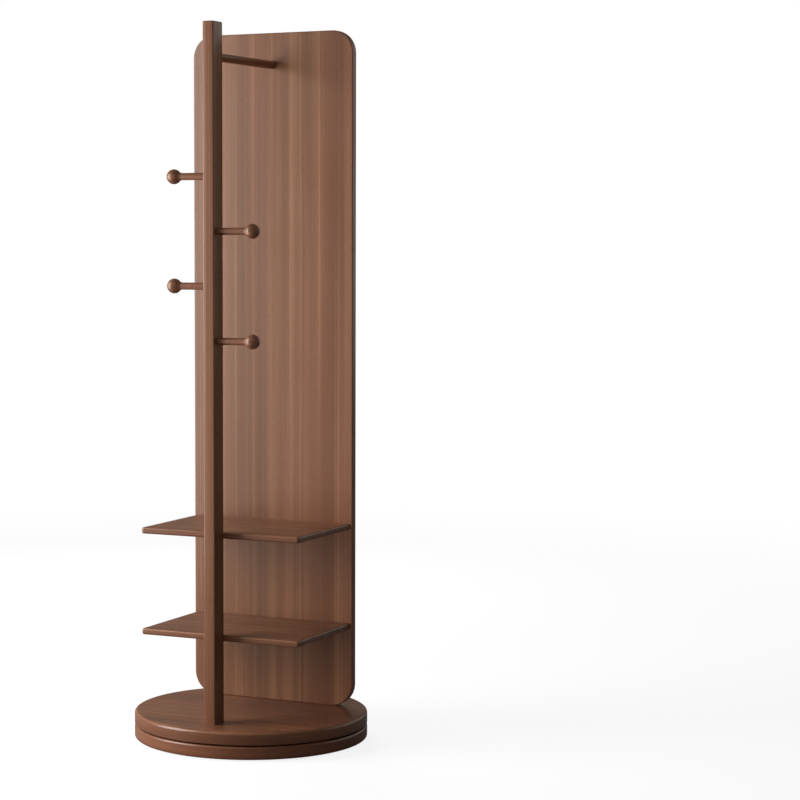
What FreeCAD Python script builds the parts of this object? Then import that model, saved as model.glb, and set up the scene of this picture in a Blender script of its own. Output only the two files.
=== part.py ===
import FreeCAD, Part
import math
import os
from FreeCAD import Placement, Rotation, Vector

# Floor mirror on a turntable, with a coat post, a hanging rail, pegs and shelves behind it.
# Millimetres. The origin is on the turning axis at floor level and +Z is up.
# +X runs across the panel, the coat post stands towards -Y and the mirror faces +Y.

# Turntable base
disc_radius = 281.5
disc_thickness = 31.0
disc_gap = 3.0
turntable_top_round = 7.5
turntable_under_round = 2.5
base_top_round = 5.0
base_under_round = 6.0
pad_radius = 15.0
pad_thickness = 3.0
pad_inset = 26.5
pad_count = 6

# Ring bearing between the two discs
ball_radius = 2.5
ball_circle_radius = 125.0
ball_count = 36
race_clearance = 0.05
ring_width = 14.0
ring_height = 8.0
ring_stagger = 2.0
ring_spacing = 2.0
ring_round = 0.4
recess_margin = 5.0
cage_side_clearance = 0.4
cage_end_clearance = 0.6
cage_pocket_clearance = 0.15
ring_screw_count = 6
ring_screw_length = 16.0
ring_screw_radius = 1.75
ring_screw_head_radius = 3.5
ring_screw_head_height = 1.9
driver_hole_radius = 7.0

# Mirror panel
panel_width = 430.0
panel_height = 1632.0
panel_corner_radius = 55.0
panel_inset = 142.5
board_thickness = 15.0
board_face_round = 2.5
frame_depth = 7.0
frame_width = 8.5
frame_outer_round = 2.5
frame_inner_round = 1.0
joint_line_round = 0.5
glass_thickness = 4.0
glass_clearance = 0.6
glass_bevel = 0.8
tape_thickness = 1.5
tape_width = 25.0
tape_end_margin = 60.0
tape_shares = (-0.35, -0.12, 0.12, 0.35)

# Coat post
post_inset = 65.5
post_width = 28.0
post_depth = 48.0
post_rise = 3.0
post_edge_round = 3.0
post_top_round = 2.8

# Hanging rail
rail_radius = 10.0
rail_drop = 77.5

# Pegs
peg_count = 4
peg_top_drop = 355.0
peg_pitch = 127.2
peg_rod_radius = 8.5
peg_reach = 88.0
knob_radius = 17.5
knob_wall = 1.0
knob_neck_length = 3.0
knob_neck_round = 5.0
knob_socket_depth = 12.0

# Shelves
shelf_width = 417.0
shelf_thickness = 15.0
shelf_corner_radius = 6.0
shelf_edge_round = 4.0
lower_shelf_height = 205.5
shelf_pitch = 243.0

# Bolts and threaded inserts under the panel and the post
bolt_radius = 3.0
bolt_head_radius = 5.25
bolt_head_height = 5.0
bolt_socket_width = 5.0
bolt_socket_depth = 3.0
washer_radius = 8.0
washer_thickness = 1.5
insert_radius = 4.5
insert_length = 16.0
counterbore_radius = 9.0
counterbore_depth = 12.0
bolt_end_gap = 2.0
panel_bolt_shares = (-0.43, -0.2, 0.2, 0.43)
post_bolt_shares = (-0.24, 0.24)

# Double-ended screws in the rail and the pegs
dowel_screw_radius = 3.0
dowel_screw_grip = 25.0
dowel_screw_tip = 3.0
post_cover = 10.0
board_cover = 4.5

# Shelf fittings
cam_radius = 7.5
cam_cover = 3.0
cam_setback = 26.0
cam_slot_width = 1.6
cam_slot_depth = 2.0
cam_slot_margin = 1.5
cam_head_clearance = 0.2
cam_bolt_thread_radius = 3.0
cam_bolt_rod_radius = 2.5
cam_bolt_neck_radius = 1.6
cam_bolt_neck_length = 4.0
cam_bolt_head_radius = 2.8
cam_shares = (-0.335, 0.335)
wood_dowel_radius = 4.0
wood_dowel_length = 30.0
wood_dowel_end_round = 1.0
wood_dowel_shares = (-0.145, 0.145)

# Small edge rounding and the fits between pieces
edge_break = 0.5
fit_clearance = 0.05
end_clearance = 0.5
cut_overrun = 1.0

full_turn = 360.0
quarter_turn = 90.0
centre = Vector(0, 0, 0)
up = Vector(0, 0, 1)
down = Vector(0, 0, -1)
right = Vector(1, 0, 0)
left = Vector(-1, 0, 0)
rearward = Vector(0, 1, 0)
forward = Vector(0, -1, 0)

# Levels that the pieces share
base_bottom = pad_thickness
base_top = base_bottom + disc_thickness
turntable_bottom = base_top + disc_gap
turntable_top = turntable_bottom + disc_thickness
bearing_bottom = turntable_bottom - ring_height - ring_stagger
ball_level = (bearing_bottom + turntable_bottom) / 2
inner_ring_bottom = turntable_bottom - ring_height
outer_ring_top = bearing_bottom + ring_height
outer_ring_bore = ball_circle_radius + ring_spacing / 2
outer_ring_radius = outer_ring_bore + ring_width
inner_ring_radius = ball_circle_radius - ring_spacing / 2
inner_ring_bore = inner_ring_radius - ring_width
outer_screw_circle = (outer_ring_bore + outer_ring_radius) / 2
inner_screw_circle = (inner_ring_bore + inner_ring_radius) / 2
panel_top = turntable_top + panel_height
frame_front = disc_radius - panel_inset
board_back = frame_front - frame_depth
board_face = board_back - board_thickness
board_middle = (board_face + board_back) / 2
glass_back = board_back + tape_thickness
post_top = panel_top + post_rise
post_height = post_top - turntable_top
lower_shelf_top = turntable_top + lower_shelf_height
upper_shelf_top = lower_shelf_top + shelf_pitch
rail_level = panel_top - rail_drop
post_face = post_inset + post_depth - disc_radius
post_middle = post_face - post_depth / 2
bolt_seat = turntable_bottom + counterbore_depth
bolt_length = turntable_top + insert_length - bolt_end_gap - bolt_seat + washer_thickness

# Sizes that follow from what the fittings sit in
pad_circle_radius = disc_radius - pad_inset - pad_radius
panel_foot_width = panel_width - 2 * panel_corner_radius
knob_neck_radius = peg_rod_radius + knob_wall
knob_seam = peg_reach - math.sqrt(knob_radius ** 2 - knob_neck_radius ** 2)
knob_start = knob_seam - knob_neck_length
post_side_grip = post_width - post_cover
board_grip = board_thickness - board_cover
cam_height = shelf_thickness - cam_cover


def rounded_face(corners):
    """Flat face with the given corners, each a point and the radius that rounds it."""
    edges = []
    joints = []
    count = len(corners)
    for index in range(count):
        point, radius = corners[index]
        before = corners[index - 1][0] - point
        after = corners[(index + 1) % count][0] - point
        before.normalize()
        after.normalize()
        half_angle = before.getAngle(after) / 2
        reach = radius / math.tan(half_angle)
        start = point + before * reach
        end = point + after * reach
        if radius > 0:
            bisector = before + after
            bisector.normalize()
            middle = point + bisector * (radius / math.sin(half_angle) - radius)
            edges.append(Part.Arc(start, middle, end).toShape())
        joints.append((start, end))
    for index in range(count):
        line_start = joints[index - 1][1]
        line_end = joints[index][0]
        edges.append(Part.LineSegment(line_start, line_end).toShape())
    return Part.Face(Part.Wire(Part.sortEdges(edges)[0]))


def turned(profile):
    """Solid of revolution about Z from (radius, height, rounding) corners."""
    corners = [(Vector(radius, 0, height), rounding) for radius, height, rounding in profile]
    return rounded_face(corners).revolve(centre, up, full_turn)


def placed(shape, place, direction=up):
    """Copy of a shape modelled along +Z, moved to a place and turned along a direction."""
    copy = shape.copy()
    copy.Placement = Placement(place, Rotation(up, direction))
    return copy


def on_circle(radius, level, count, start_share=0):
    """Points spaced evenly on a level circle about the turning axis."""
    points = []
    for index in range(count):
        angle = (index + start_share) * math.tau / count
        points.append(Vector(radius * math.cos(angle), radius * math.sin(angle), level))
    return points


def cylinder(radius, length, place=centre, direction=up):
    return Part.makeCylinder(radius, length, place, direction)


def block(low, high):
    size = high - low
    return Part.makeBox(size.x, size.y, size.z, low)


def cross_slots(span, width, depth):
    """Two crossed slots cut down from the origin, for a driver."""
    long_way = block(Vector(-span / 2, -width / 2, -depth), Vector(span / 2, width / 2, cut_overrun))
    short_way = block(Vector(-width / 2, -span / 2, -depth), Vector(width / 2, span / 2, cut_overrun))
    return long_way.fuse(short_way)


def panel_outline(inset, y, depth):
    """Plate with the panel's rounded outline, drawn in by an inset, from y towards the mirror."""
    half = panel_width / 2 - inset
    low = turntable_top + inset
    high = panel_top - inset
    radius = panel_corner_radius - inset
    corners = [
        (Vector(-half, y, low), radius),
        (Vector(half, y, low), radius),
        (Vector(half, y, high), radius),
        (Vector(-half, y, high), radius),
    ]
    return rounded_face(corners).extrude(rearward * depth)


def edges_at_y(shape, y):
    """Edges that lie wholly on one plane across Y."""
    found = []
    for edge in shape.Edges:
        box = edge.BoundBox
        if abs(box.YMin - y) < fit_clearance and abs(box.YMax - y) < fit_clearance:
            found.append(edge)
    return found


# Fasteners, each modelled along +Z from its seat

def ring_screw():
    """Countersunk wood screw with its head's flat face at the origin and its point at -Z."""
    head = Part.makeCone(ring_screw_radius, ring_screw_head_radius, ring_screw_head_height,
                         down * ring_screw_head_height)
    shank = cylinder(ring_screw_radius, ring_screw_length - ring_screw_head_height - ring_screw_radius,
                     down * (ring_screw_length - ring_screw_radius))
    point = Part.makeCone(0, ring_screw_radius, ring_screw_radius, down * ring_screw_length)
    slots = cross_slots(ring_screw_head_radius, ring_screw_radius / 2, ring_screw_head_height / 2)
    return head.fuse([shank, point]).cut(slots).removeSplitter()


def ring_screw_hole():
    """Space for a ring screw, the fit clearance larger than the screw all round."""
    head = Part.makeCone(ring_screw_radius + fit_clearance, ring_screw_head_radius + fit_clearance,
                         ring_screw_head_height, down * ring_screw_head_height)
    mouth = cylinder(ring_screw_head_radius + fit_clearance, cut_overrun)
    shank = cylinder(ring_screw_radius + fit_clearance, ring_screw_length + end_clearance,
                     down * (ring_screw_length + end_clearance))
    return head.fuse([mouth, shank])


def bolt():
    """Socket-head bolt with the underside of its head at the origin and its shank up +Z."""
    shank = cylinder(bolt_radius, bolt_length)
    head = turned([(0, -bolt_head_height, 0), (bolt_head_radius, -bolt_head_height, edge_break),
                   (bolt_head_radius, 0, 0), (0, 0, 0)])
    socket = hexagon(bolt_socket_width, bolt_socket_depth + cut_overrun)
    return head.fuse(shank).cut(placed(socket, down * (bolt_head_height + cut_overrun)))


def hexagon(width, depth):
    """Hexagonal prism of a width across its flats."""
    corner_radius = width / 2 / math.cos(math.pi / 6)
    points = on_circle(corner_radius, 0, 6)
    points.append(points[0])
    return Part.Face(Part.makePolygon(points)).extrude(up * depth)


def washer():
    ring = cylinder(washer_radius, washer_thickness)
    return ring.cut(cylinder(bolt_radius + fit_clearance, washer_thickness))


def threaded_insert():
    """Sleeve that is sunk flush into the wood and takes a bolt."""
    sleeve = cylinder(insert_radius, insert_length)
    return sleeve.cut(cylinder(bolt_radius + fit_clearance, insert_length))


def insert_hole():
    hole = cylinder(insert_radius + fit_clearance, insert_length + end_clearance + cut_overrun)
    return placed(hole, down * cut_overrun)


def bolt_hole():
    """Counterbore from below and the hole above it, from the disc's underside."""
    counterbore = cylinder(counterbore_radius, counterbore_depth + cut_overrun, down * cut_overrun)
    hole = cylinder(bolt_radius + fit_clearance, disc_thickness + cut_overrun)
    return counterbore.fuse(hole)


def double_screw(lower_grip, upper_grip):
    """Screw pointed at both ends, with its two grips either side of the origin."""
    length = lower_grip + upper_grip
    tip_radius = dowel_screw_radius / 2
    return turned([(0, -lower_grip, 0), (tip_radius, -lower_grip, 0),
                   (dowel_screw_radius, dowel_screw_tip - lower_grip, 0),
                   (dowel_screw_radius, length - lower_grip - dowel_screw_tip, 0),
                   (tip_radius, length - lower_grip, 0), (0, length - lower_grip, 0)])


def double_screw_hole(depth):
    """Blind hole for one grip of a double-ended screw, up +Z from a face."""
    return cylinder(dowel_screw_radius + fit_clearance, depth + end_clearance + cut_overrun,
                    down * cut_overrun)


def cam():
    """Shelf fastener's round cam, its slotted face at the origin and its body up +Z."""
    body = turned([(0, 0, 0), (cam_radius, 0, edge_break), (cam_radius, cam_height, 0),
                   (0, cam_height, 0)])
    slots = cross_slots(2 * (cam_radius - cam_slot_margin), cam_slot_width, cam_slot_depth)
    throat_radius = cam_bolt_head_radius + cam_head_clearance
    throat_start = up * shelf_thickness / 2 + forward * throat_radius
    throat = cylinder(throat_radius, throat_radius + cam_radius + cut_overrun, throat_start, rearward)
    return body.cut([placed(slots, centre, down), throat])


def cam_bolt():
    """Rod that screws into a board at -Z and is held by a cam at its head, up +Z."""
    neck_start = cam_setback - cam_bolt_head_radius - cam_bolt_neck_length
    thread = cylinder(cam_bolt_thread_radius, board_grip, down * board_grip)
    rod = cylinder(cam_bolt_rod_radius, neck_start)
    neck = cylinder(cam_bolt_neck_radius, cam_setback - neck_start, up * neck_start)
    head = Part.makeSphere(cam_bolt_head_radius, up * cam_setback)
    return thread.fuse([rod, neck, head]).removeSplitter()


def cam_bolt_hole():
    """Blind hole in a board for the thread of a cam bolt, down -Z from the board's face."""
    return cylinder(cam_bolt_thread_radius + fit_clearance, board_grip + end_clearance + cut_overrun,
                    down * (board_grip + end_clearance))


def wood_dowel():
    """Round wooden dowel with rounded ends, from board_grip below its seam, up +Z."""
    low = -board_grip
    high = wood_dowel_length - board_grip
    return turned([(0, low, 0), (wood_dowel_radius, low, wood_dowel_end_round),
                   (wood_dowel_radius, high, wood_dowel_end_round), (0, high, 0)])


def wood_dowel_hole():
    """Room for a wooden dowel on both sides of its seam."""
    return cylinder(wood_dowel_radius + fit_clearance, wood_dowel_length + 2 * end_clearance,
                    down * (board_grip + end_clearance))


# Places of the fasteners

outer_screw_places = on_circle(outer_screw_circle, outer_ring_top, ring_screw_count)
inner_screw_places = on_circle(inner_screw_circle, inner_ring_bottom, ring_screw_count, 0.5)
panel_bolt_places = [Vector(share * panel_foot_width, board_middle, 0) for share in panel_bolt_shares]
post_bolt_places = [Vector(0, post_middle + share * post_depth, 0) for share in post_bolt_shares]
shelf_tops = (lower_shelf_top, upper_shelf_top)


def peg_places():
    """Foot of each peg on the post and the way it points, from the top down, side by side in turn."""
    places = []
    for index in range(peg_count):
        level = post_top - peg_top_drop - index * peg_pitch
        side = right if index % 2 else left
        places.append((Vector(0, post_middle, level) + side * (post_width / 2), side))
    return places


def shelf_seams(top):
    """Middles of a shelf's edge fittings, as (place, way into the shelf), cams first."""
    middle = top - shelf_thickness / 2
    cams = [(Vector(share * shelf_width, board_face, middle), forward) for share in cam_shares]
    cams.append((Vector(0, post_face, middle), rearward))
    dowels = []
    for share in wood_dowel_shares:
        dowels.append((Vector(share * shelf_width, board_face, middle), forward))
    return cams, dowels


# Turntable base

def foot_pads():
    pads = []
    for place in on_circle(pad_circle_radius, 0, pad_count, 0.5):
        pad = turned([(0, 0, 0), (pad_radius, 0, edge_break), (pad_radius, pad_thickness, 0),
                      (0, pad_thickness, 0)])
        pads.append(placed(pad, place))
    return pads


def base_disc():
    disc = turned([(0, base_bottom, 0), (disc_radius, base_bottom, base_under_round),
                   (disc_radius, base_top, base_top_round), (0, base_top, 0)])
    recess = cylinder(outer_ring_radius + recess_margin, base_top - bearing_bottom + cut_overrun,
                      up * bearing_bottom)
    driver_place = inner_screw_places[0]
    driver_hole = cylinder(driver_hole_radius, disc_thickness,
                           Vector(driver_place.x, driver_place.y, base_bottom - cut_overrun))
    holes = [placed(ring_screw_hole(), place) for place in outer_screw_places]
    return disc.cut([recess, driver_hole] + holes)


def turntable_disc():
    disc = turned([(0, turntable_bottom, 0), (disc_radius, turntable_bottom, turntable_under_round),
                   (disc_radius, turntable_top, turntable_top_round), (0, turntable_top, 0)])
    bolts = [placed(bolt_hole(), place + up * turntable_bottom)
             for place in panel_bolt_places + post_bolt_places]
    screws = [placed(ring_screw_hole(), place, down) for place in inner_screw_places]
    return disc.cut(bolts + screws)


def race_groove():
    return Part.makeTorus(ball_circle_radius, ball_radius + race_clearance, up * ball_level, up)


def bearing_ring(inner, outer, bottom):
    top = bottom + ring_height
    ring = turned([(inner, bottom, ring_round), (outer, bottom, ring_round),
                   (outer, top, ring_round), (inner, top, ring_round)])
    return ring.cut(race_groove())


def bearing_outer_ring():
    holes = [placed(ring_screw_hole(), place) for place in outer_screw_places]
    return bearing_ring(outer_ring_bore, outer_ring_radius, bearing_bottom).cut(holes)


def bearing_inner_ring():
    holes = [placed(ring_screw_hole(), place, down) for place in inner_screw_places]
    return bearing_ring(inner_ring_bore, inner_ring_radius, inner_ring_bottom).cut(holes)


def bearing_balls():
    places = on_circle(ball_circle_radius, ball_level, ball_count)
    return [Part.makeSphere(ball_radius, place) for place in places]


def bearing_ball_cage():
    half_width = ring_spacing / 2 - cage_side_clearance
    low = bearing_bottom + cage_end_clearance
    height = turntable_bottom - cage_end_clearance - low
    cage = cylinder(ball_circle_radius + half_width, height, up * low)
    bore = cylinder(ball_circle_radius - half_width, height, up * low)
    pockets = []
    for place in on_circle(ball_circle_radius, ball_level, ball_count):
        outward = Vector(place.x, place.y, 0)
        start = place - outward * (ring_width / ball_circle_radius / 2)
        pockets.append(cylinder(ball_radius + cage_pocket_clearance, ring_width, start, outward))
    return cage.cut(bore).cut(pockets)


# Mirror panel

def panel_board():
    board = panel_outline(0, board_face, board_thickness)
    board = board.makeFillet(board_face_round, edges_at_y(board, board_face))
    board = board.makeFillet(joint_line_round, edges_at_y(board, board_back))
    cuts = [placed(insert_hole(), place + up * turntable_top) for place in panel_bolt_places]
    cuts.append(placed(double_screw_hole(board_grip), Vector(0, board_face, rail_level), rearward))
    for top in shelf_tops:
        cams, dowels = shelf_seams(top)
        for place, way in cams:
            if way == forward:
                cuts.append(placed(cam_bolt_hole(), place, way))
        for place, way in dowels:
            cuts.append(placed(wood_dowel_hole(), place, way))
    return board.cut(cuts)


def frame_section(place, outward):
    """Section of the mirror's frame, from its inner edge out, with its front edges rounded."""
    inner_edge = place - outward * frame_width
    front = rearward * (frame_front - place.y)
    corners = [
        (inner_edge, 0),
        (place, joint_line_round),
        (place + front, frame_outer_round),
        (inner_edge + front, frame_inner_round),
    ]
    return rounded_face(corners)


def frame_stile(side):
    foot = Vector(side.x * panel_width / 2, board_back, turntable_top + panel_corner_radius)
    return frame_section(foot, side).extrude(up * (panel_height - 2 * panel_corner_radius))


def frame_rail(level, outward):
    start = Vector(-panel_foot_width / 2, board_back, level)
    return frame_section(start, outward).extrude(right * panel_foot_width)


def frame_corner_blocks():
    """Quarter rings that join the stiles and rails, turned about the corner centres."""
    half = panel_foot_width / 2
    low = turntable_top + panel_corner_radius
    high = panel_top - panel_corner_radius
    blocks = []
    for x, z, outward in ((half, high, right), (-half, high, up), (-half, low, left), (half, low, down)):
        middle = Vector(x, board_back, z)
        section = frame_section(middle + outward * panel_corner_radius, outward)
        blocks.append(section.revolve(middle, forward, quarter_turn))
    return blocks


def mirror_glass():
    plate = panel_outline(frame_width + glass_clearance, glass_back, glass_thickness)
    return plate.makeChamfer(glass_bevel, edges_at_y(plate, glass_back + glass_thickness))


def mirror_tape_strips():
    low = turntable_top + tape_end_margin
    high = panel_top - tape_end_margin
    strips = []
    for share in tape_shares:
        middle = share * panel_width
        strips.append(block(Vector(middle - tape_width / 2, board_back, low),
                            Vector(middle + tape_width / 2, glass_back, high)))
    return strips


# Coat post, hanging rail and pegs

def coat_post():
    half_width = post_width / 2
    half_depth = post_depth / 2
    corners = []
    for x, y in ((-half_width, -half_depth), (half_width, -half_depth),
                 (half_width, half_depth), (-half_width, half_depth)):
        corners.append((Vector(x, post_middle + y, turntable_top), post_edge_round))
    post = rounded_face(corners).extrude(up * post_height)
    top_edges = [edge for edge in post.Edges if edge.BoundBox.ZMin > post_top - post_top_round]
    post = post.makeFillet(post_top_round, top_edges)
    cuts = [placed(insert_hole(), place + up * turntable_top) for place in post_bolt_places]
    cuts.append(placed(double_screw_hole(dowel_screw_grip), Vector(0, post_face, rail_level), forward))
    for foot, way in peg_places():
        cuts.append(placed(double_screw_hole(post_side_grip), foot, -way))
    for top in shelf_tops:
        for place, way in shelf_seams(top)[0]:
            if way == rearward:
                cuts.append(placed(cam_bolt_hole(), place, way))
    return post.cut(cuts)


def hanging_rail():
    length = board_face - post_face
    rail = cylinder(rail_radius, length, Vector(0, post_face, rail_level), rearward)
    front_hole = placed(double_screw_hole(dowel_screw_grip), Vector(0, post_face, rail_level), rearward)
    rear_hole = placed(double_screw_hole(dowel_screw_grip), Vector(0, board_face, rail_level), forward)
    return rail.cut([front_hole, rear_hole])


def rail_dowel_screws():
    front = placed(double_screw(dowel_screw_grip, dowel_screw_grip),
                   Vector(0, post_face, rail_level), rearward)
    rear = placed(double_screw(board_grip, dowel_screw_grip),
                  Vector(0, board_face, rail_level), forward)
    return [front, rear]


def peg_rod():
    rod = cylinder(peg_rod_radius, knob_seam + knob_socket_depth)
    return rod.cut(double_screw_hole(dowel_screw_grip))


def peg_knob():
    """Ball with a short flared neck, bored to take the rod."""
    ball = Part.makeSphere(knob_radius, up * peg_reach)
    neck = cylinder(knob_neck_radius, peg_reach - knob_start, up * knob_start)
    body = ball.fuse(neck)
    seam = []
    for edge in body.Edges:
        box = edge.BoundBox
        if abs(box.ZMin - knob_seam) < fit_clearance and abs(box.ZMax - knob_seam) < fit_clearance:
            seam.append(edge)
    body = body.makeFillet(knob_neck_round, seam)
    socket = cylinder(peg_rod_radius + fit_clearance, knob_seam + knob_socket_depth + end_clearance)
    return body.cut(socket)


def peg_dowel_screws():
    screw = double_screw(post_side_grip, dowel_screw_grip)
    return [placed(screw, foot, way) for foot, way in peg_places()]


# Shelves and their fittings

def shelf(top):
    half = shelf_width / 2
    bottom = top - shelf_thickness
    corners = [
        (Vector(-half, post_face, bottom), shelf_corner_radius),
        (Vector(half, post_face, bottom), shelf_corner_radius),
        (Vector(half, board_face, bottom), 0),
        (Vector(-half, board_face, bottom), 0),
    ]
    board = rounded_face(corners).extrude(up * shelf_thickness)
    rims = []
    for edge in board.Edges:
        box = edge.BoundBox
        if box.ZMax - box.ZMin < fit_clearance and box.YMin < board_face - fit_clearance:
            rims.append(edge)
    board = board.makeFillet(shelf_edge_round, rims)
    cams, dowels = shelf_seams(top)
    cuts = []
    for place, way in cams:
        cuts.append(cylinder(cam_bolt_head_radius + end_clearance, cam_setback, place, way))
        foot = Vector(place.x, place.y, bottom - cut_overrun) + way * cam_setback
        cuts.append(cylinder(cam_radius + fit_clearance, cam_height + end_clearance + cut_overrun, foot))
    for place, way in dowels:
        cuts.append(placed(wood_dowel_hole(), place, way))
    return board.cut(cuts)


def shelf_cams():
    cams = []
    for top in shelf_tops:
        for place, way in shelf_seams(top)[0]:
            body = cam()
            if way == rearward:
                body.rotate(centre, up, full_turn / 2)
            foot = Vector(place.x, place.y, top - shelf_thickness) + way * cam_setback
            body.translate(foot)
            cams.append(body)
    return cams


def shelf_cam_bolts():
    bolts = []
    for top in shelf_tops:
        for place, way in shelf_seams(top)[0]:
            bolts.append(placed(cam_bolt(), place, way))
    return bolts


def shelf_dowels():
    dowels = []
    for top in shelf_tops:
        for place, way in shelf_seams(top)[1]:
            dowels.append(placed(wood_dowel(), place, way))
    return dowels


def bolts_at(places):
    return [placed(bolt(), place + up * (bolt_seat - washer_thickness)) for place in places]


def washers_at(places):
    return [placed(washer(), place + up * (bolt_seat - washer_thickness)) for place in places]


def inserts_at(places):
    return [placed(threaded_insert(), place + up * turntable_top) for place in places]


pieces = {
    "foot_pads": foot_pads(),
    "base_disc": [base_disc()],
    "bearing_outer_ring": [bearing_outer_ring()],
    "outer_ring_screws": [placed(ring_screw(), place) for place in outer_screw_places],
    "bearing_ball_cage": [bearing_ball_cage()],
    "bearing_balls": bearing_balls(),
    "bearing_inner_ring": [bearing_inner_ring()],
    "inner_ring_screws": [placed(ring_screw(), place, down) for place in inner_screw_places],
    "turntable_disc": [turntable_disc()],
    "panel_board": [panel_board()],
    "panel_bolts": bolts_at(panel_bolt_places),
    "panel_bolt_washers": washers_at(panel_bolt_places),
    "panel_inserts": inserts_at(panel_bolt_places),
    "frame_stile_left": [frame_stile(left)],
    "frame_stile_right": [frame_stile(right)],
    "frame_rail_top": [frame_rail(panel_top, up)],
    "frame_rail_bottom": [frame_rail(turntable_top, down)],
    "frame_corner_blocks": frame_corner_blocks(),
    "mirror_tape_strips": mirror_tape_strips(),
    "mirror_glass": [mirror_glass()],
    "coat_post": [coat_post()],
    "post_bolts": bolts_at(post_bolt_places),
    "post_bolt_washers": washers_at(post_bolt_places),
    "post_inserts": inserts_at(post_bolt_places),
    "hanging_rail": [hanging_rail()],
    "rail_dowel_screws": rail_dowel_screws(),
    "peg_dowel_screws": peg_dowel_screws(),
    "shelf_lower": [shelf(lower_shelf_top)],
    "shelf_upper": [shelf(upper_shelf_top)],
    "shelf_cams": shelf_cams(),
    "shelf_cam_bolts": shelf_cam_bolts(),
    "shelf_dowels": shelf_dowels(),
}
for number, (foot, way) in enumerate(peg_places(), 1):
    pieces["peg_rod_%d" % number] = [placed(peg_rod(), foot, way)]
    pieces["peg_knob_%d" % number] = [placed(peg_knob(), foot, way)]

os.makedirs("parts", exist_ok=True)
for name, shapes in pieces.items():
    solids = [solid for shape in shapes for solid in shape.Solids]
    node = solids[0] if len(solids) == 1 else Part.makeCompound(solids)
    node.exportStep("parts/" + name + ".step")
    sound = all(solid.isValid() and solid.Volume > 0 for solid in solids)
    print("%-22s %2d solids %10.1f mm3 %s" % (name, len(solids), node.Volume, "sound" if sound else "BROKEN"))
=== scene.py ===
import math

import bmesh
import bpy
import numpy as np
from mathutils import Matrix, Vector


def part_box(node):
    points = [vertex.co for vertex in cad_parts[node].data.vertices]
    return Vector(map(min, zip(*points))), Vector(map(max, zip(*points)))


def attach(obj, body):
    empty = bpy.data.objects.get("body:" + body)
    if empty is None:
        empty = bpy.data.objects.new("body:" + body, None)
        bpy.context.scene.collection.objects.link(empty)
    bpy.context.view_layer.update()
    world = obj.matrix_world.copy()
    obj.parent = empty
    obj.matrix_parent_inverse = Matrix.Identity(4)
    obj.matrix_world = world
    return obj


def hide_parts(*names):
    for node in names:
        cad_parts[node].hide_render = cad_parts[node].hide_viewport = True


# Floor mirror on a turntable, with a coat post, pegs, a hanging rail and two shelves on its back.
# Metres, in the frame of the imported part: +Z up, the rack side towards -Y, the mirror towards +Y.

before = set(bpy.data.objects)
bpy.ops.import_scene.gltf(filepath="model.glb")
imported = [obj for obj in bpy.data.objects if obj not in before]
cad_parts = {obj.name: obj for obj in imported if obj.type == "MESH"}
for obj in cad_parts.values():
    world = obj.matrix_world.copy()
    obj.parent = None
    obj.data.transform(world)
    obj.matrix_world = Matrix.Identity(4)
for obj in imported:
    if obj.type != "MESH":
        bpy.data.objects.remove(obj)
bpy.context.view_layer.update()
mm = 0.001
movingBody = "turntable"
print("frame:", len(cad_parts), "nodes")


# Camera, at the place that the reference view was taken from

photoView = {
    "frameSide": 800,         # pixels
    "focalPixels": 2328.5,
    "shiftPixels": 150,       # from the line of sight to the frame's middle
    "sensorWidth": 36.0,      # millimetres
    "azimuth": 26.775,        # degrees round from -Y towards +X
    "distance": 5.5792,
    "height": 1.2150,
    "yaw": 0.013,
    "pitch": 4.082,           # downwards
    "roll": -0.095,
}


# Turns the level heading by yaw, tips it down by pitch and rolls the frame about the line of sight.
def makeCamera(view):
    azimuth = math.radians(view["azimuth"])
    heading = azimuth + math.radians(view["yaw"])
    pitch = math.radians(view["pitch"])
    roll = math.radians(view["roll"])
    level = Vector((-math.sin(heading), math.cos(heading), 0))
    across = Vector((math.cos(heading), math.sin(heading), 0))
    upward = Vector((0, 0, 1))
    sight = level * math.cos(pitch) - upward * math.sin(pitch)
    top = upward * math.cos(pitch) + level * math.sin(pitch)
    frameRight = across * math.cos(roll) + top * math.sin(roll)
    frameTop = top * math.cos(roll) - across * math.sin(roll)
    data = bpy.data.cameras.new("photoCamera")
    data.sensor_width = view["sensorWidth"]
    data.lens = view["focalPixels"] / view["frameSide"] * view["sensorWidth"]
    data.shift_x = view["shiftPixels"] / view["frameSide"]
    camera = bpy.data.objects.new("photoCamera", data)
    bpy.context.scene.collection.objects.link(camera)
    turned = Matrix((frameRight, frameTop, -sight)).transposed().to_4x4()
    turned.translation = (view["distance"] * math.sin(azimuth),
                          -view["distance"] * math.cos(azimuth), view["height"])
    camera.matrix_world = turned
    bpy.context.scene.camera = camera


makeCamera(photoView)
bpy.context.scene.view_settings.view_transform = "Standard"
print("camera set")


# Small helpers for node trees

white = (1, 1, 1, 1)


# A screen colour, each part from 0 to 255, made linear by the sRGB curve.
def srgb(red, green, blue):
    parts = np.array([red, green, blue]) / 255
    linear = np.where(parts > 0.04045, ((parts + 0.055) / 1.055) ** 2.4, parts / 12.92)
    return (*linear.tolist(), 1.0)


def emptied(owner):
    owner.use_nodes = True
    owner.node_tree.nodes.clear()
    return owner.node_tree


def put(socket, value):
    if isinstance(value, bpy.types.NodeSocket):
        socket.id_data.links.new(value, socket)
    else:
        socket.default_value = value


def objectPlace(tree):
    return tree.nodes.new("ShaderNodeTexCoord").outputs["Object"]


def calc(tree, operation, first, second=0.0, third=0.0):
    node = tree.nodes.new("ShaderNodeMath")
    node.operation = operation
    for socket, value in zip(node.inputs, (first, second, third)):
        put(socket, value)
    return node.outputs[0]


def vectorCalc(tree, operation, first, second=(0, 0, 0), output=0):
    node = tree.nodes.new("ShaderNodeVectorMath")
    node.operation = operation
    put(node.inputs[0], first)
    put(node.inputs[1], second)
    return node.outputs[output]


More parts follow.
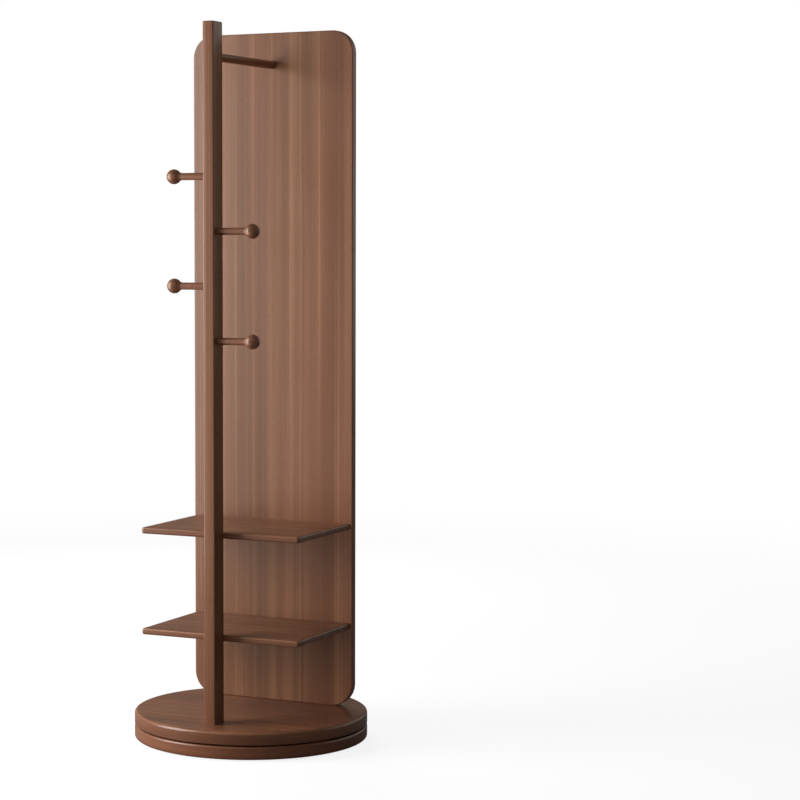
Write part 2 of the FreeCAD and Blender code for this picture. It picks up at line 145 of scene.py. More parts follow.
def remap(tree, value, fromLow, fromHigh, toLow=0.0, toHigh=1.0, smooth=False):
    node = tree.nodes.new("ShaderNodeMapRange")
    node.interpolation_type = "SMOOTHSTEP" if smooth else "LINEAR"
    for socket, number in zip(node.inputs, (value, fromLow, fromHigh, toLow, toHigh)):
        put(socket, number)
    return node.outputs[0]


def noise(tree, vector, scale, detail=2.0, roughness=0.5, output=0):
    node = tree.nodes.new("ShaderNodeTexNoise")
    put(node.inputs["Vector"], vector)
    put(node.inputs["Scale"], scale)
    put(node.inputs["Detail"], detail)
    put(node.inputs["Roughness"], roughness)
    return node.outputs[output]


def blendColours(tree, share, first, second, way="MIX"):
    node = tree.nodes.new("ShaderNodeMix")
    node.data_type = "RGBA"
    node.blend_type = way
    put(node.inputs[0], share)
    put(node.inputs[6], first)
    put(node.inputs[7], second)
    return node.outputs[2]


def tinted(tree, colour, tint):
    return blendColours(tree, 1.0, colour, tint, "MULTIPLY")


def blendVectors(tree, share, first, second):
    node = tree.nodes.new("ShaderNodeMix")
    node.data_type = "VECTOR"
    put(node.inputs[0], share)
    put(node.inputs[4], first)
    put(node.inputs[5], second)
    return node.outputs[1]


def mapped(tree, vector, move=(0, 0, 0), turn=(0, 0, 0), scale=(1, 1, 1)):
    node = tree.nodes.new("ShaderNodeMapping")
    put(node.inputs["Vector"], vector)
    node.inputs["Location"].default_value = move
    node.inputs["Rotation"].default_value = [math.radians(angle) for angle in turn]
    node.inputs["Scale"].default_value = scale
    return node.outputs[0]


def split(tree, vector):
    node = tree.nodes.new("ShaderNodeSeparateXYZ")
    put(node.inputs[0], vector)
    return node.outputs


def joined(tree, x, y, z):
    node = tree.nodes.new("ShaderNodeCombineXYZ")
    for socket, value in zip(node.inputs, (x, y, z)):
        put(socket, value)
    return node.outputs[0]


def grey(tree, value):
    return joined(tree, value, value, value)


# Distance from the Z axis, out of a place's parts.
def fromAxis(tree, parts):
    squares = [calc(tree, "MULTIPLY", part, part) for part in (parts[0], parts[1])]
    return calc(tree, "SQRT", calc(tree, "ADD", *squares))


def bumped(tree, height, strength, distance):
    node = tree.nodes.new("ShaderNodeBump")
    node.inputs["Strength"].default_value = strength
    node.inputs["Distance"].default_value = distance
    put(node.inputs["Height"], height)
    return node.outputs[0]


def newGroup(name, inputs, outputs):
    tree = bpy.data.node_groups.new(name, "ShaderNodeTree")
    for way, sockets in (("INPUT", inputs), ("OUTPUT", outputs)):
        for label, kind in sockets.items():
            tree.interface.new_socket(label, in_out=way, socket_type="NodeSocket" + kind)
    return tree, tree.nodes.new("NodeGroupInput").outputs, tree.nodes.new("NodeGroupOutput").inputs


def placeGroup(tree, group, **values):
    node = tree.nodes.new("ShaderNodeGroup")
    node.node_tree = group
    for label, value in values.items():
        put(node.inputs[label], value)
    return node.outputs


# Shared shader effects, each built once. A roughness that one of them gives is added to that of
# the material.

noiseMiddle = 0.5             # every noise swings about this
noiseSpan = (0.3, 0.7)        # and mostly stays in here
noiseCore = (0.35, 0.65)      # narrower, for more contrast
fineRoughness = 0.6           # of the noise of fine marks

grainLook = {
    "driftScale": (5, 5, 1.1),    # of the slow noise
    "streakWidth": 0.22,          # of a strip's, as are the next two widths
    "fibreWidth": 0.045,
    "rednessWidth": 2.4,
    "fibreLength": 0.12,          # of a strip's
    "fineDetail": 2.0,            # of the noise of streaks and fibres
    "poreWidth": 0.0007,
    "poreLength": 0.011,
    "poreSpan": (0.60, 0.70),     # where in its noise a pore begins and is full
    "stripWeight": 1.25,          # in the tone, as are the next two
    "streakWeight": 0.55,
    "fibreWeight": 0.32,
    "lineSpan": (0.60, 0.74),     # where in the streaks' noise a pale line begins and is full
    "lineWeight": 0.34,
    "middleTone": 0.5,
    "darkSpan": (0.1, 0.5),       # tones from the dark colour to the middle one
    "lightSpan": (0.5, 0.9),      # and from there to the light one
    "cooler": (0.97, 1.01, 0.98, 1),
    "warmer": (1.03, 0.99, 1.0, 1),
    "poreShade": (0.52, 0.45, 0.42, 1),
    "fibreRoughness": 0.10,
    "poreRoughness": 0.18,
    "streakRelief": 0.4,
    "fibreRelief": 0.35,
    "poreRelief": -0.5,
}


# Straight grain along Z: wide strips, narrower streaks, fine fibres and short dark pores are one
# noise each, squeezed across the grain and drawn out along it. The crests of the streaks stand out
# as thin pale lines, and a slow noise lets them all wander.
def makeWoodGroup(look):
    tree, given, result = newGroup(
        "straightGrain",
        {"Vector": "Vector", "Strip": "Float", "Length": "Float", "Wander": "Float", "Dark": "Color",
         "Middle": "Color", "Light": "Color", "Contrast": "Float", "Pores": "Float"},
        {"Color": "Color", "Roughness": "Float", "Height": "Float"})
    place, wander = given["Vector"], given["Wander"]
    strip, length = given["Strip"], given["Length"]
    slow = noise(tree, mapped(tree, place, scale=look["driftScale"]), 1.0, detail=1.0, output="Color")
    drift = vectorCalc(tree, "SUBTRACT", slow, (noiseMiddle,) * 3)
    drift = vectorCalc(tree, "MULTIPLY", drift, joined(tree, wander, wander, 0))
    parts = split(tree, vectorCalc(tree, "ADD", place, drift))

    def times(value, share):
        return calc(tree, "MULTIPLY", value, share)

    def drawnOut(width, along, detail=1.0, roughness=0.5):
        sizes = (width, width, along)
        squeezed = [calc(tree, "DIVIDE", part, size) for part, size in zip(parts, sizes)]
        return noise(tree, joined(tree, *squeezed), 1.0, detail, roughness)

    def weighed(field, weight, onto=0.0):
        return calc(tree, "MULTIPLY_ADD", calc(tree, "SUBTRACT", field, noiseMiddle), weight, onto)

    strips = drawnOut(strip, length)
    streaks = drawnOut(times(strip, look["streakWidth"]), length, look["fineDetail"], fineRoughness)
    fibres = drawnOut(times(strip, look["fibreWidth"]), times(length, look["fibreLength"]),
                      look["fineDetail"], fineRoughness)
    redness = drawnOut(times(strip, look["rednessWidth"]), length)
    poreField = drawnOut(look["poreWidth"], look["poreLength"])
    pores = times(remap(tree, poreField, *look["poreSpan"], smooth=True), given["Pores"])
    lines = remap(tree, streaks, *look["lineSpan"], 0.0, look["lineWeight"], smooth=True)

    tone = weighed(strips, look["stripWeight"])
    tone = weighed(streaks, look["streakWeight"], tone)
    tone = weighed(fibres, look["fibreWeight"], tone)
    tone = calc(tree, "ADD", tone, lines)
    tone = calc(tree, "MULTIPLY_ADD", tone, given["Contrast"], look["middleTone"])
    lower = blendColours(tree, remap(tree, tone, *look["darkSpan"]), given["Dark"], given["Middle"])
    colour = blendColours(tree, remap(tree, tone, *look["lightSpan"]), lower, given["Light"])
    warmth = blendColours(tree, remap(tree, redness, *noiseCore), look["cooler"], look["warmer"])
    shade = blendColours(tree, pores, white, look["poreShade"])
    put(result["Color"], tinted(tree, tinted(tree, colour, warmth), shade))
    put(result["Roughness"], calc(tree, "MULTIPLY_ADD", pores, look["poreRoughness"],
                                  weighed(fibres, look["fibreRoughness"])))
    relief = calc(tree, "MULTIPLY_ADD", streaks, look["streakRelief"], times(fibres, look["fibreRelief"]))
    put(result["Height"], calc(tree, "MULTIPLY_ADD", pores, look["poreRelief"], relief))
    return tree


edgeLook = {
    "leanSpan": (0.02, 0.22),     # 1 less the cosine of the lean, where the edge mask begins and is full
    "patchScale": 45.0,
    "patchSpan": (0.3, 0.65),
    # least share of the edge mask, which gives a painted highlight and a lower roughness
    "leastEdgeShare": 0.45,
}


# Mask of the rounded edges: on a flat face the surface's own normal points along one axis, or
# radially on a turned wall, and on a rounding it points between them.
def makeEdgeGroup(look):
    tree, given, result = newGroup(
        "roundedEdges", {"Normal": "Vector", "Vector": "Vector", "Turned": "Float"}, {"Mask": "Float"})
    parts = split(tree, vectorCalc(tree, "ABSOLUTE", given["Normal"]))
    square = calc(tree, "MAXIMUM", parts[0], parts[1])
    rounder = calc(tree, "SUBTRACT", fromAxis(tree, parts), square)
    side = calc(tree, "MULTIPLY_ADD", rounder, given["Turned"], square)
    lean = calc(tree, "SUBTRACT", 1.0, calc(tree, "MAXIMUM", side, parts[2]))
    mask = remap(tree, lean, *look["leanSpan"], smooth=True)
    patches = noise(tree, given["Vector"], look["patchScale"], detail=3.0)
    uneven = remap(tree, patches, *look["patchSpan"], look["leastEdgeShare"], 1.0)
    put(result["Mask"], calc(tree, "MULTIPLY", mask, uneven))
    return tree


hazeLook = {
    "patchSpan": (0.35, 0.7),
    "patchRoughness": 0.55,       # of the patches' noise
    "fineScale": 26.0,            # times that of the patches
    "fineRelief": 0.25,
}


# Faint uneven haze that handling and wiping leave on a clear coat.
def makeHazeGroup(look):
    tree, given, result = newGroup(
        "surfaceHaze", {"Vector": "Vector", "Patch": "Float", "Amount": "Float"},
        {"Roughness": "Float", "Height": "Float"})
    place = given["Vector"]
    scale = calc(tree, "DIVIDE", 1.0, given["Patch"])
    patches = noise(tree, place, scale, detail=3.0, roughness=look["patchRoughness"])
    fine = noise(tree, place, calc(tree, "MULTIPLY", scale, look["fineScale"]))
    swing = remap(tree, patches, *look["patchSpan"], -1.0, 1.0)
    put(result["Roughness"], calc(tree, "MULTIPLY", swing, given["Amount"]))
    put(result["Height"], calc(tree, "MULTIPLY_ADD", fine, look["fineRelief"], patches))
    return tree


# Lines that a lathe leaves: a noise of the distance from the axis and of the height alone.
def makeLatheGroup():
    tree, given, result = newGroup(
        "latheLines", {"Vector": "Vector", "Pitch": "Float"}, {"Mask": "Float", "Height": "Float"})
    parts = split(tree, given["Vector"])
    outward = calc(tree, "DIVIDE", fromAxis(tree, parts), given["Pitch"])
    upward = calc(tree, "DIVIDE", parts[2], given["Pitch"])
    lines = noise(tree, joined(tree, outward, 0.0, upward), 1.0, roughness=fineRoughness)
    put(result["Mask"], remap(tree, lines, *noiseCore))
    put(result["Height"], lines)
    return tree


grainGroup = makeWoodGroup(grainLook)
edgeGroup = makeEdgeGroup(edgeLook)
hazeGroup = makeHazeGroup(hazeLook)
latheGroup = makeLatheGroup()
print("shader groups made")


def newMaterial(name):
    material = bpy.data.materials.new(name)
    tree = emptied(material)
    shader = tree.nodes.new("ShaderNodeBsdfPrincipled")
    put(tree.nodes.new("ShaderNodeOutputMaterial").inputs["Surface"], shader.outputs[0])
    return material, tree, shader


def placeGrain(tree, wood, vector, strip, length):
    return placeGroup(tree, grainGroup, Vector=vector, Strip=strip, Length=length,
                      Wander=wood["wander"], Dark=wood["dark"], Middle=wood["middle"],
                      Light=wood["light"], Contrast=wood["contrast"], Pores=wood["pores"])


# Walnut under a satin lacquer

walnut = {
    "dark": srgb(79, 45, 29),
    "middle": srgb(120, 74, 49),
    "light": srgb(157, 106, 76),
    "edge": srgb(180, 130, 98),   # painted highlight: a paler colour on the rounded edges
    "edgeLightShare": 0.22,
    "edgeRoughness": -0.05,
    "contrast": 0.54,
    "wander": 0.006,
    "length": 1.3,                # of the strips
    "pores": 0.55,
    "relief": 0.35,
    "reliefDepth": 0.00012,
    "roughness": 0.40,
    "specular": 0.28,
    "lacquer": 0.36,
    "lacquerRoughness": 0.17,
    "hazePatch": 0.14,
    "hazeAmount": 0.05,
    "wallTurn": (0, 90, 0),
    "wallStretch": (1, 0.03, 1),
    "wallNormal": 0.75,           # a turned wall's normal rises by less than this
}


# The grain runs along the piece's own length: turn is the rotation that takes that length to Z.
# The cast tells one board from another of the same wood.
def walnutMaterial(name, strip, move, turn=(0, 0, 0), length=walnut["length"], normalTurn=(0, 0, 0),
                   turnedWall=0.0, rimGrain=False, pathGrain=False, cast=white,
                   lacquerRoughness=walnut["lacquerRoughness"]):
    material, tree, shader = newMaterial(name)
    source = tree.nodes.new("ShaderNodeTexCoord").outputs
    place = source["Object"]
    normal = mapped(tree, source["Normal"], turn=normalTurn)
    if pathGrain:
        follow = tree.nodes.new("ShaderNodeAttribute")
        follow.attribute_name = "grain"
        grain = mapped(tree, follow.outputs["Vector"], move)
    else:
        grain = mapped(tree, place, move, turn)
    if rimGrain:
        # Round the wall the lines are level: quick changes up Z and slow ones along X and Y.
        wallGrain = mapped(tree, place, move, walnut["wallTurn"], walnut["wallStretch"])
        rise = calc(tree, "ABSOLUTE", split(tree, normal)[2])
        onWall = calc(tree, "LESS_THAN", rise, walnut["wallNormal"])
        grain = blendVectors(tree, onWall, grain, wallGrain)
    wood = placeGrain(tree, walnut, grain, strip, length)
    edges = placeGroup(tree, edgeGroup, Normal=normal, Vector=place, Turned=turnedWall)["Mask"]
    haze = placeGroup(tree, hazeGroup, Vector=place, Patch=walnut["hazePatch"],
                      Amount=walnut["hazeAmount"])
    # The paler colour on the rounded edges is a painted highlight; the lower roughness there is the
    # surface's own.
    paintedEdgeLight = calc(tree, "MULTIPLY", edges, walnut["edgeLightShare"])
    colour = tinted(tree, wood["Color"], cast)
    put(shader.inputs["Base Color"], blendColours(tree, paintedEdgeLight, colour, walnut["edge"]))
    plain = calc(tree, "ADD", haze["Roughness"], walnut["roughness"])
    uneven = calc(tree, "ADD", wood["Roughness"], plain)
    put(shader.inputs["Roughness"], calc(tree, "MULTIPLY_ADD", edges, walnut["edgeRoughness"], uneven))
    put(shader.inputs["Normal"], bumped(tree, wood["Height"], walnut["relief"], walnut["reliefDepth"]))
    shader.inputs["Specular IOR Level"].default_value = walnut["specular"]
    shader.inputs["Coat Weight"].default_value = walnut["lacquer"]
    shader.inputs["Coat Roughness"].default_value = lacquerRoughness
    return material


panelWood = walnutMaterial("walnutPanel", 0.030, move=(0.31, 0.07, 0.4), length=2.6,
                           normalTurn=(90, 0, 0), turnedWall=1.0, cast=(0.965, 1.06, 1.05, 1))
frameWood = walnutMaterial("walnutFrame", 0.012, move=(0.9, 0.4, 0.2), pathGrain=True,
                           normalTurn=(90, 0, 0), turnedWall=1.0)
postWood = walnutMaterial("walnutPost", 0.014, move=(0.70, 0.71, 1.7), length=1.6,
                          cast=(0.93, 1, 1, 1))
railWood = walnutMaterial("walnutRail", 0.012, move=(0.2, 0.9, 0.5), turn=(-90, 0, 0),
                          normalTurn=(90, 0, 0), turnedWall=1.0)
pegWood = walnutMaterial("walnutPegs", 0.010, move=(0.7, 0.3, 0.1), turn=(0, 90, 0), length=0.5,
                         normalTurn=(0, 90, 0), turnedWall=1.0, cast=(0.92, 0.96, 1, 1),
                         lacquerRoughness=0.1)
shelfWood = walnutMaterial("walnutShelves", 0.022, move=(0.14, 0.5, 0.8), turn=(0, 90, 0))
turntableWood = walnutMaterial("walnutTurntable", 0.026, move=(0.4, 0.2, 0.3), turn=(90, 90, 0),
                               turnedWall=1.0, rimGrain=True, lacquerRoughness=0.12)
baseWood = walnutMaterial("walnutBase", 0.026, move=(0.8, 0.6, 0.9), turn=(90, 90, 0),
                          turnedWall=1.0, rimGrain=True)
print("walnut finishes made")


# Mirror: silvered face, polished edge and painted back

mirror = {
    "silver": srgb(246, 247, 247),
    "silverTint": srgb(240, 243, 242),
    "cloudScale": 2.2,
    "cloudSpan": (0.35, 0.7),
    "roughness": 0.003,       # a clear image, with hardly any haze
    "waveScale": 1.6,         # a slow wobble in the image
    "waveRelief": 0.06,
    "waveDepth": 0.0004,
    "edge": srgb(176, 205, 196),
    "edgeScale": 140.0,
    "edgeRoughness": (0.08, 0.2),
    "edgeRelief": 0.2,
    "edgeMetal": 0.6,
    "edgeCoat": 0.6,
    "edgeCoatRoughness": 0.05,
    "back": srgb(122, 126, 128),
    "backFleck": srgb(94, 98, 101),
    "fleckScale": 620.0,
    "fleckSpan": (0.4, 0.65),
    "backRoughness": (0.5, 0.68),
    "backRelief": 0.3,
    "fineDepth": 0.0001,      # of the relief on edge and back
}


def silveredMaterial():
    material, tree, shader = newMaterial("silveredFace")
    place = objectPlace(tree)
    cloud = noise(tree, place, mirror["cloudScale"])
    wave = noise(tree, place, mirror["waveScale"], detail=0.0)
    tint = remap(tree, cloud, *mirror["cloudSpan"])
    put(shader.inputs["Base Color"], blendColours(tree, tint, mirror["silver"], mirror["silverTint"]))
    put(shader.inputs["Roughness"], remap(tree, cloud, *noiseSpan, 0.0, mirror["roughness"]))
    put(shader.inputs["Normal"], bumped(tree, wave, mirror["waveRelief"], mirror["waveDepth"]))
    shader.inputs["Metallic"].default_value = 1.0
    return material


def glassEdgeMaterial():
    material, tree, shader = newMaterial("polishedGlassEdge")
    ripple = noise(tree, objectPlace(tree), mirror["edgeScale"])
    tint = remap(tree, ripple, *noiseSpan)
    put(shader.inputs["Base Color"], blendColours(tree, tint, mirror["edge"], mirror["silverTint"]))
    put(shader.inputs["Roughness"], remap(tree, ripple, *noiseSpan, *mirror["edgeRoughness"]))
    put(shader.inputs["Normal"], bumped(tree, ripple, mirror["edgeRelief"], mirror["fineDepth"]))
    shader.inputs["Metallic"].default_value = mirror["edgeMetal"]
    shader.inputs["Coat Weight"].default_value = mirror["edgeCoat"]
    shader.inputs["Coat Roughness"].default_value = mirror["edgeCoatRoughness"]
    return material


def mirrorBackMaterial():
    material, tree, shader = newMaterial("mirrorBackPaint")
    fleck = noise(tree, objectPlace(tree), mirror["fleckScale"], detail=3.0, roughness=fineRoughness)
    tint = remap(tree, fleck, *mirror["fleckSpan"])
    put(shader.inputs["Base Color"], blendColours(tree, tint, mirror["back"], mirror["backFleck"]))
    put(shader.inputs["Roughness"], remap(tree, fleck, *noiseSpan, *mirror["backRoughness"]))
    put(shader.inputs["Normal"], bumped(tree, fleck, mirror["backRelief"], mirror["fineDepth"]))
    return material


silveredFace = silveredMaterial()
glassEdge = glassEdgeMaterial()
mirrorBack = mirrorBackMaterial()
print("mirror finishes made")


# Fittings: metals, with lines where they are turned

metal = {
    "linePitch": 0.0006,
    "lineRoughness": 0.12,
    "hazeAmount": 0.08,
    "hazeRelief": 0.3,
    "relief": 0.25,
    "reliefDepth": 0.00006,
}


def metalMaterial(name, colour, tint, roughness, lines=0.0, patch=0.01):
    material, tree, shader = newMaterial(name)
    place = objectPlace(tree)
    turning = placeGroup(tree, latheGroup, Vector=place, Pitch=metal["linePitch"])
    haze = placeGroup(tree, hazeGroup, Vector=place, Patch=patch, Amount=metal["hazeAmount"])
    blotch = remap(tree, noise(tree, place, 1 / patch, detail=3.0), *noiseSpan)
    put(shader.inputs["Base Color"], blendColours(tree, blotch, colour, tint))
    hazy = calc(tree, "ADD", haze["Roughness"], roughness)
    lined = metal["lineRoughness"] * lines
    put(shader.inputs["Roughness"], calc(tree, "MULTIPLY_ADD", turning["Mask"], lined, hazy))
    patches = calc(tree, "MULTIPLY", haze["Height"], metal["hazeRelief"])
    relief = calc(tree, "MULTIPLY_ADD", turning["Height"], lines, patches)
    put(shader.inputs["Normal"], bumped(tree, relief, metal["relief"], metal["reliefDepth"]))
    shader.inputs["Metallic"].default_value = 1.0
    return material


bearingAluminium = metalMaterial("turnedAluminium", srgb(196, 199, 202), srgb(176, 180, 184), 0.3,
                                 lines=1.0)
ballSteel = metalMaterial("polishedSteel", srgb(205, 206, 208), srgb(188, 190, 193), 0.12,
                          patch=0.004)
zincSteel = metalMaterial("zincPlatedSteel", srgb(186, 190, 196), srgb(160, 163, 160), 0.3,
                          lines=0.3, patch=0.006)
insertBrass = metalMaterial("insertBrass", srgb(201, 168, 96), srgb(178, 143, 78), 0.3,
                            lines=0.4, patch=0.006)
camZinc = metalMaterial("castZinc", srgb(150, 152, 156), srgb(126, 128, 133), 0.42,
                        patch=0.003)


# Fittings: nylon, foam and felted rubber

soft = {
    "fineRoughness": 0.65,        # of the fine noise
    "broadScale": 0.08,           # of the fine noise's
    "tintSpan": (0.45, 0.7),
    "tintShare": 0.5,
    "unevenness": 0.06,           # of the roughness, up and down
    "relief": 0.5,
}


def softMaterial(name, colour, tint, grainSize, roughness, reliefDepth, sheen=0.0):
    material, tree, shader = newMaterial(name)
    place = objectPlace(tree)
    fine = noise(tree, place, 1 / grainSize, detail=4.0, roughness=soft["fineRoughness"])
    broad = noise(tree, place, soft["broadScale"] / grainSize)
    clouded = blendColours(tree, remap(tree, broad, *noiseSpan), colour, tint)
    speckle = remap(tree, fine, *soft["tintSpan"], 0.0, soft["tintShare"])
    put(shader.inputs["Base Color"], blendColours(tree, speckle, clouded, tint))
    put(shader.inputs["Roughness"], remap(tree, fine, *noiseSpan, roughness - soft["unevenness"],
                                          roughness + soft["unevenness"]))
    put(shader.inputs["Normal"], bumped(tree, fine, soft["relief"], reliefDepth))
    shader.inputs["Sheen Weight"].default_value = sheen
    return material


nylon = softMaterial("cageNylon", srgb(224, 220, 208), srgb(206, 200, 186), 0.0015, 0.45, 0.00005)
foamTape = softMaterial("foamTape", srgb(233, 233, 230), srgb(214, 214, 209), 0.0006, 0.85, 0.0002)
feltRubber = softMaterial("feltedRubber", srgb(58, 52, 48), srgb(34, 31, 30), 0.0008, 0.88, 0.0003,
                          sheen=0.3)


# Fittings: plain beech, with its grain along Y

beech = {
    "dark": srgb(196, 155, 112),
    "middle": srgb(218, 182, 140),
    "light": srgb(232, 202, 164),
    "contrast": 0.8,
    "wander": 0.001,
    "pores": 0.25,
    "strip": 0.004,
    "length": 0.05,
    "turn": (-90, 0, 0),
    "roughness": 0.6,
    "relief": 0.4,
    "reliefDepth": 0.0001,
}


def beechMaterial():
    material, tree, shader = newMaterial("beechDowels")
    grain = mapped(tree, objectPlace(tree), turn=beech["turn"])
    wood = placeGrain(tree, beech, grain, beech["strip"], beech["length"])
    put(shader.inputs["Base Color"], wood["Color"])
    put(shader.inputs["Roughness"], calc(tree, "ADD", wood["Roughness"], beech["roughness"]))
    put(shader.inputs["Normal"], bumped(tree, wood["Height"], beech["relief"], beech["reliefDepth"]))
    return material


nodeFinishes = {
    "base_disc": baseWood,
    "turntable_disc": turntableWood,
    "shelf_lower": shelfWood,
    "shelf_upper": shelfWood,
    "foot_pads": feltRubber,
    "bearing_outer_ring": bearingAluminium,
    "bearing_inner_ring": bearingAluminium,
    "bearing_ball_cage": nylon,
    "bearing_balls": ballSteel,
    "outer_ring_screws": zincSteel,
    "inner_ring_screws": zincSteel,
    "panel_bolts": zincSteel,
    "panel_bolt_washers": zincSteel,
    "panel_inserts": insertBrass,
    "post_bolts": zincSteel,
    "post_bolt_washers": zincSteel,
    "post_inserts": insertBrass,
    "mirror_tape_strips": foamTape,
    "rail_dowel_screws": zincSteel,
    "peg_dowel_screws": zincSteel,
    "shelf_cams": camZinc,
    "shelf_cam_bolts": zincSteel,
    "shelf_dowels": beechMaterial(),
}
for nodeName, finish in nodeFinishes.items():
    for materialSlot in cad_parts[nodeName].material_slots:
        materialSlot.material = finish
print("finishes on", len(nodeFinishes), "fixed nodes")


# Surfaces

quarterTurn = math.pi / 2
surface = {
    "mergeDistance": 1e-6,
    "sharpAngle": 35,             # degrees
}


# A surface from rings of points, shape (rings, points round, 3): neighbours in the grid make the
# quads and the first and last rings are closed with a flat face each. A ring of no size is a pole.
def skin(rings, grain=None, sharpAngle=surface["sharpAngle"]):
    rows, around = rings.shape[:2]
    index = np.arange(rows * around).reshape(rows, around)
    beside = np.roll(index, -1, axis=1)
    quads = np.stack([index[:-1], beside[:-1], beside[1:], index[1:]], axis=-1).reshape(-1, 4)
    faces = quads.tolist() + [index[0][::-1].tolist(), index[-1].tolist()]
    mesh = bpy.data.meshes.new("surface")
    mesh.from_pydata(rings.reshape(-1, 3).tolist(), [], faces)
    if grain is not None:
        layer = mesh.attributes.new("grain", "FLOAT_VECTOR", "POINT")
        layer.data.foreach_set("vector", grain.astype(np.float32).ravel())
    work = bmesh.new()
    work.from_mesh(mesh)
    bmesh.ops.remove_doubles(work, verts=work.verts, dist=surface["mergeDistance"])
    bmesh.ops.recalc_face_normals(work, faces=work.faces)
    work.to_mesh(mesh)
    work.free()
    mesh.shade_smooth()
    mesh.set_sharp_from_angle(angle=math.radians(sharpAngle))
    return mesh


def together(meshes):
    work = bmesh.new()
    for mesh in meshes:
        work.from_mesh(mesh)
    whole = bpy.data.meshes.new("surface")
    work.to_mesh(whole)
    work.free()
    for mesh in meshes:
        bpy.data.meshes.remove(mesh)
    return whole


def addPiece(name, node, mesh, *materials, slotName="walnut"):
    piece = bpy.data.objects.new(name, mesh)
    mesh.name = name
    bpy.context.scene.collection.objects.link(piece)
    for material in materials:
        mesh.materials.append(material)
    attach(piece, movingBody)
    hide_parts(node)
    return piece


# A node's lowest corner, highest corner and size.
def boxOf(node):
    low, high = [np.array(corner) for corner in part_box(node)]
    return low, high, high - low


def arc(centre, radius, startAngle, endAngle, steps):
    angle = np.linspace(startAngle, endAngle, steps + 1)
    return np.stack([centre[0] + radius * np.cos(angle), centre[1] + radius * np.sin(angle)], axis=1)


# Plate with rounded corners: ring i is the outline drawn in by inset i, at depth i. Each outline
# point is its corner's centre plus (corner radius - inset) times the way out at its angle.
def plateRings(halfWide, halfHigh, cornerRadius, cornerSteps, profile):
    quarter = np.linspace(0, quarterTurn, cornerSteps + 1)
    angle = (quarter + np.arange(4)[:, None] * quarterTurn).ravel()
    signs = np.repeat(np.array([(1, 1), (-1, 1), (-1, -1), (1, -1)]), cornerSteps + 1, axis=0)
    centre = signs * np.array([halfWide - cornerRadius, halfHigh - cornerRadius])
    outward = np.stack([np.cos(angle), np.sin(angle)], axis=1)
    inset, depth = profile[:, 0], profile[:, 1]
    flat = centre + (cornerRadius - inset)[:, None, None] * outward
    return np.dstack([flat, np.broadcast_to(depth[:, None], flat.shape[:2])])


# The plate stood up in its node's box: its outline along X and Z, its depth along Y.
def standingPlate(node, shape, profile):
    low, high, size = boxOf(node)
    middle = (low + high) / 2
    plate = plateRings(size[0] / 2, size[2] / 2, shape["cornerRadius"], shape["cornerSteps"], profile)
    across, upward, depth = plate[:, :, 0], plate[:, :, 1], plate[:, :, 2]
    return np.dstack([across + middle[0], depth + low[1], upward + middle[2]])


# Edge profile of a plate from one face to the other, as (inset, depth): a quarter circle at each
# face, with one more ring just inside it so that the face itself stays flat.
def roundedProfile(thickness, firstRound, lastRound, steps, margin):
    turn = np.linspace(0, quarterTurn, steps + 1)
    first = np.stack([firstRound * (1 - np.sin(turn)), firstRound * (1 - np.cos(turn))], axis=1)
    last = np.stack([lastRound * (1 - np.cos(turn)), thickness - lastRound * (1 - np.sin(turn))], axis=1)
    return np.vstack([(firstRound + margin, 0), first, last, (lastRound + margin, thickness)])


# Turned piece: each (distance along, radius) of the profile is swept round the axis, which runs
# from start along the level direction way.
def turnedRings(profile, start, way, segments):
    way = np.array(way, float)
    side = np.cross(way, (0, 0, 1))
    other = np.cross(way, side)
    angle = np.linspace(0, 2 * math.pi, segments, endpoint=False)
    ray = np.cos(angle)[:, None] * side + np.sin(angle)[:, None] * other
    axis = np.array(start) + profile[:, 0, None] * way
    return axis[:, None, :] + profile[:, 1, None, None] * ray


# Panel board, whose face is the back wall of the rack

panel = {
    "cornerRadius": 55 * mm,
    "cornerSteps": 24,
    "faceRound": 2.5 * mm,
    "jointRound": 0.5 * mm,
    "roundSteps": 6,
    "flatMargin": 0.4 * mm,
}


def makePanelBoard():
    thickness = boxOf("panel_board")[2][1]
    profile = roundedProfile(thickness, panel["faceRound"], panel["jointRound"],
                             panel["roundSteps"], panel["flatMargin"])
    addPiece("PanelBoard", "panel_board", skin(standingPlate("panel_board", panel, profile)), panelWood)


makePanelBoard()
print("panel board made")


# Mirror frame: two stiles, two rails and four bent corners, all of one moulding

moulding = {
    "width": 8.5 * mm,
    "depth": 7 * mm,
    "outerRound": 2.5 * mm,
    "innerRound": 1.0 * mm,
    "backRound": 0.5 * mm,
    "roundSteps": 6,
    "endBreak": 0.25 * mm,    # fine V where two lengths meet
    "bendSteps": 28,
}


# Section as (in from the outline, out from the board), its corners rounded with quarter circles.
def mouldingSection():
    width, depth = moulding["width"], moulding["depth"]
    steps = moulding["roundSteps"]
    outer, inner, back = moulding["outerRound"], moulding["innerRound"], moulding["backRound"]
    return np.vstack([
        arc((back, back), back, 3 * quarterTurn, 2 * quarterTurn, steps),
        arc((outer, depth - outer), outer, 2 * quarterTurn, quarterTurn, steps),
        arc((width - inner, depth - inner), inner, quarterTurn, 0, steps),
        [(width, 0)],
    ])


# Carries the section along a path: each path point moves the section inwards by its first part
# and out from the board by its second. At both ends it is drawn in a little, for the joint line.
def sweptMoulding(path, outward, lengths, boardBack):
    section = mouldingSection()
    tangent = np.roll(section, -1, axis=0) - np.roll(section, 1, axis=0)
    way = np.stack([tangent[:, 1], -tangent[:, 0]], axis=1)
    way /= np.linalg.norm(way, axis=1)[:, None]
    side = np.sign(np.cross(tangent, section - section.mean(axis=0)))
    inside = section + way * moulding["endBreak"] * side[:, None]
    drawn = np.zeros(len(path))
    drawn[[0, -1]] = 1
    shape = section[None] + drawn[:, None, None] * (inside - section)[None]
    across = path[:, None, :] - outward[:, None, :] * shape[:, :, :1]
    rings = np.dstack([across[:, :, 0], boardBack + shape[:, :, 1], across[:, :, 1]])
    along = np.broadcast_to(lengths[:, None], shape.shape[:2])
    return skin(rings, np.dstack([shape, along]))


